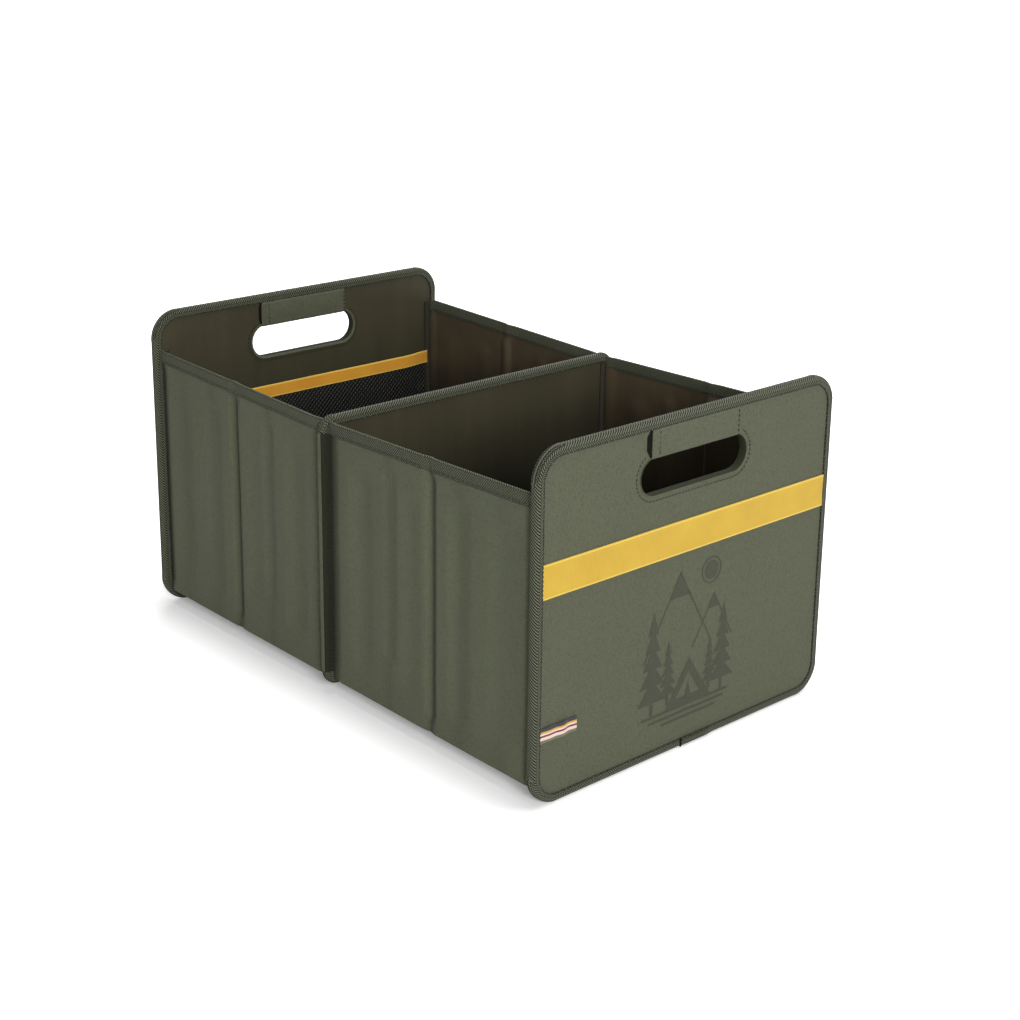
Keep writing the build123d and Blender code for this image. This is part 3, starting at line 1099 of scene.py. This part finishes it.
# Mesh pocket
# Black knotted net on the rear lining, cut on the bias: its cords run both ways at 45
# degrees, and those of one way are coloured paler, a painted glint. It is held at three
# sides and bellies out.
def black_net(name, dark, light):
    finish, tree, shader, place = new_finish(name, 0.6, sheen=0.03)
    grain = mottle(tree, place, 1.6, 2.0)
    lay_on(tree, shader, dye(tree, grain, dark, light), grain, 0.4, 0.0002)
    return finish


pocket_half, pocket_low, pocket_high = 0.146, 0.022, 0.187
net_back, net_front = -0.2424, -0.2385
put_down()
bpy.ops.mesh.primitive_grid_add(x_subdivisions=48, y_subdivisions=28, size=1,
                                rotation=(0, math.pi / 2, 0))
form = bpy.context.object
form.name = "pocket_form"
form.scale = (pocket_high - pocket_low - 0.001, 2 * pocket_half - 0.001, 1)
bpy.ops.object.transform_apply(location=True, rotation=True, scale=True)
form.data.transform(Matrix.Translation((net_back, 0, (pocket_low + pocket_high) / 2)))
work_on(form)
pick("VERT", lambda v: abs(v.co.y) < 0.11 and v.co.z > 0.06)
nudge((net_front - net_back, 0, 0), 0.034)
put_down()
swell(form, 0.0010, 0.04, axis="X")
cord_wide, cord_thick, cord_half, net_wide = 0.00095, 0.0004, 0.125, 0.56
cord_step = 0.0034 * math.sqrt(2)
for way, pale in ((1, True), (-1, False)):
    cord_run = blank(f"net_cords_{'up' if pale else 'down'}",
                     (net_back, -cord_half, -cord_wide / 2),
                     (net_back + cord_thick, cord_half, cord_wide / 2))
    score(cord_run, "Y", every(-cord_half, cord_half, 0.009))
    start = Matrix.Translation((0, -0.5 * net_wide, (pocket_low + pocket_high) / 2))
    cord_run.data.transform(start @ Matrix.Rotation(way * math.pi / 4, 4, "X"))
    repeat(cord_run, int(net_wide / cord_step), (0, cord_step, 0))
    work_on(cord_run)
    for spot, facing in (((0, pocket_half, 0), (0, 1, 0)), ((0, -pocket_half, 0), (0, -1, 0)),
                         ((0, 0, pocket_high - 0.001), (0, 0, 1)),
                         ((0, 0, pocket_low), (0, 0, -1))):
        bpy.ops.mesh.select_all(action="SELECT")
        bpy.ops.mesh.bisect(plane_co=spot, plane_no=facing, clear_outer=True, use_fill=False)
    put_down()
    # The cords of one way get a paler colour, a painted glint; the others keep the net's black.
    if pale:
        net = cord_run
        dress(net, black_net("black_net_cord_painted_glint", (48, 47, 43), (86, 85, 79)))
    else:
        dress(cord_run, black_net("black_net_cord_dark", (5, 5, 4), (12, 12, 10)))
        cord_run.data.transform(Matrix.Translation((0.0003, 0, 0)))
        take_up(net)
        cord_run.select_set(True)
        bpy.ops.object.join()
bulge = BVHTree.FromPolygons([v.co for v in form.data.vertices],
                             [p.vertices for p in form.data.polygons])
for vertex in net.data.vertices:
    hit = bulge.ray_cast(Vector((-0.30, vertex.co.y, vertex.co.z)), Vector((1, 0, 0)))
    if hit[0] is not None:
        vertex.co.x += hit[0].x - net_back
form.data.transform(Matrix.Translation((-0.0005, 0, 0)))
form.name = form.data.name = "mesh_pocket_ground"
smooth(form, 50)
dress(form, black_net("black_net_ground", (2, 2, 2), (5, 5, 4)))
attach(form, "rear_panel")
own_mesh(form)
net.name = net.data.name = "mesh_pocket_net"
smooth(net, 50)
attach(net, "rear_panel")
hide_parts("mesh_pocket")
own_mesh(net)


# Pocket edge
# Yellow elastic, narrower than the closing band, sewn along the net's mouth and drawn
# straight from corner to corner.
edge_low, edge_line = 0.1750, 0.0013
edge = blank("pocket_elastic_edge", (-0.2386, -pocket_half, edge_low),
             (-0.2374, pocket_half, pocket_high))
score(edge, "Y", every(-pocket_half, pocket_half, 0.005))
score(edge, "Z", (edge_low + edge_line, (edge_low + pocket_high) / 2, pocket_high - edge_line))
work_on(edge)
for end_y in (-pocket_half, pocket_half):
    pick("VERT", lambda v: abs(v.co.y - end_y) < 0.003)
    nudge((-0.0036, 0, 0), 0.030)
put_down()
swell(edge, 0.0005, 0.03, axis="X")
press(edge, "BEVEL", width=0.0003, segments=2, limit_method="ANGLE")
smooth(edge)
dress(edge, yellow_elastic("pocket_elastic", 175.0, 187.0, light=(212, 152, 42),
                           dark=(184, 126, 28)))
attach(edge, "rear_panel")
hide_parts("pocket_edge")
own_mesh(edge)


# Studio
# A pale sweep under one raking soft light from the side, a small one near the front, one
# overhead and one behind, in a dim even room. The floor glows for the camera only, less
# near the crate, which paints a soft shadow round it.
put_down()
bpy.ops.mesh.primitive_plane_add(size=60, location=(0, 0, -0.0003))
floor = bpy.context.object
floor.name = "studio_floor"
floor_finish, floor_tree, floor_shader = new_finish("pale_floor", 0.9, specular=0.1)[:3]
floor_shader.inputs["Base Color"].default_value = (0.88, 0.88, 0.88, 1)
floor_shader.inputs["Emission Color"].default_value = (1, 1, 1, 1)
glow = wire(floor_tree, "LightPath").outputs["Is Camera Ray"]
spot = wire(floor_tree, "SeparateXYZ", {0: wire(floor_tree, "TexCoord").outputs["Object"]}).outputs
squares = []
for way, half in (("X", end_face), ("Y", half_width)):
    past = minus(floor_tree, sums(floor_tree, "ABSOLUTE", spot[way]), half)
    squares.append(sums(floor_tree, "POWER", sums(floor_tree, "MAXIMUM", past, 0.0), 2.0))
apart = sums(floor_tree, "SQRT", plus(floor_tree, *squares))
# Painted shadow: the floor's glow is weakest at the crate and full some 75 mm away.
far_off = wire(floor_tree, "MapRange", {0: apart, 1: 0.0, 2: 0.075, 3: 0.24, 4: 0.87}).outputs[0]
floor_tree.links.new(times(floor_tree, glow, far_off), floor_shader.inputs["Emission Strength"])
dress(floor, floor_finish)

room = bpy.data.worlds.new("room")
room.use_nodes = True
air, ambient = room.node_tree, room.node_tree.nodes["Background"]
ambient.inputs["Color"].default_value = (1, 1, 1, 1)
seen = wire(air, "LightPath").outputs["Is Camera Ray"]
air.links.new(plus(air, times(air, seen, 0.86), 0.17), ambient.inputs["Strength"])
bpy.context.scene.world = room
for name, spot, size, power in (("front_softbox", (0.75, 0.35, 0.62), 0.5, 1.5),
                                ("side_softbox", (2.4, -1.2, 1.2), 0.7, 58.0),
                                ("back_softbox", (-2.0, 1.6, 1.1), 1.2, 34.0),
                                ("top_softbox", (0.2, 0.3, 2.4), 1.8, 36.0)):
    lamp_data = bpy.data.lights.new(name, "AREA")
    lamp_data.size, lamp_data.energy = size, power
    lamp = bpy.data.objects.new(name, lamp_data)
    bpy.context.collection.objects.link(lamp)
    lamp.location = spot
    lamp.rotation_euler = (Vector((0, 0, 0.1)) - Vector(spot)).to_track_quat("-Z", "Y").to_euler()
bpy.context.scene.view_settings.view_transform = "Standard"

lens = bpy.data.cameras.new("camera")
lens.lens, lens.sensor_width, lens.shift_y = 64.24, 36, -0.108
camera = bpy.data.objects.new("camera", lens)
bpy.context.collection.objects.link(camera)
camera.location = (1.1020, -0.9469, 0.6553)
across, down, tilt = [math.radians(angle) for angle in (48.15, 73.32, 0.72)]
camera.rotation_euler = (Matrix.Rotation(across, 3, "Z") @ Matrix.Rotation(down, 3, "X")
                         @ Matrix.Rotation(tilt, 3, "Z")).to_euler()
bpy.context.scene.camera = camera

bpy.context.view_layer.update()
